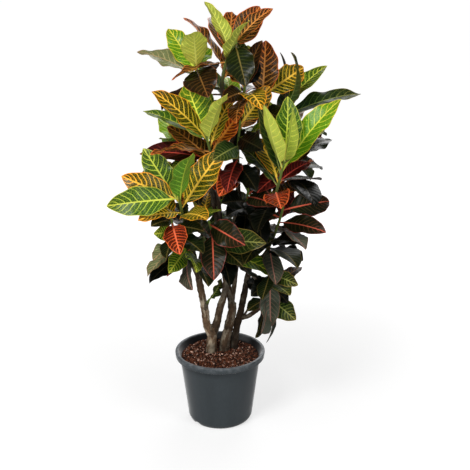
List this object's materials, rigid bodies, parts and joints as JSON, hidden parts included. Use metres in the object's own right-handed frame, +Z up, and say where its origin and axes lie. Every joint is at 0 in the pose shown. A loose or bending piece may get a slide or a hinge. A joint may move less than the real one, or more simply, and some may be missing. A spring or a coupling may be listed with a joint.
{
  "type": "potted croton",
  "caption": "Bushy croton with waxy, brightly veined leaves on forked woody stems, standing in bark mulch in a tapered round nursery pot.",
  "frame": {"origin": "middle of the flat underside of the pot, on the surface that it stands on", "axes": "+Z up along the pot's axis, -Y towards the front of the plant as pictured, +X to its right"},
  "size_m": [0.7134, 0.5302, 1.2318],
  "materials": {
    "pot_plastic": "moulded dark slate-grey plastic with a soft satin sheen",
    "bark_mulch": "loose red-brown bark and coconut chips with pale bits, matt and damp in the gaps",
    "bark": "tan-grey young bark with paler patches, ring scars and fine cracks, matt",
    "leaf_bright": "waxy green leaves with yellow veins, midribs and margins, some bronze with orange veins, semi-gloss",
    "leaf_dark": "waxy dark green to maroon leaves with dull grey-green and red veins, semi-gloss",
    "leaf_low": "older waxy leaves, dark green, mauve-grey and maroon with red or salmon midribs, semi-gloss"
  },
  "bodies": {
    "root": {"pot": "pot_plastic", "soil": "bark_mulch", "trunk_left": "bark", "trunk_middle": "bark", "trunk_right": "bark", "shoot_top": "leaf_bright", "shoot_upper_left": "leaf_bright", "shoot_upper_middle": "leaf_bright", "shoot_upper_right": "leaf_bright", "shoot_centre_left": "leaf_bright", "shoot_right_front": "leaf_bright", "shoot_centre": "leaf_bright", "shoot_left": "leaf_bright", "shoot_lower_left": "leaf_low", "shoot_lower_centre": "leaf_low", "shoot_lower_right": "leaf_low", "shoot_bottom_right": "leaf_low", "shoot_low": "leaf_low", "shoot_back_left": "leaf_bright", "shoot_back_right": "leaf_bright", "shoot_back_middle": "leaf_bright", "shoot_back_low_left": "leaf_low", "shoot_back_low_right": "leaf_low", "shoot_inner_low": "leaf_low", "shoot_inner_middle": "leaf_dark", "shoot_inner_left": "leaf_dark", "shoot_inner_right": "leaf_dark", "shoot_inner_top": "leaf_dark"}
  },
  "joints": []
}
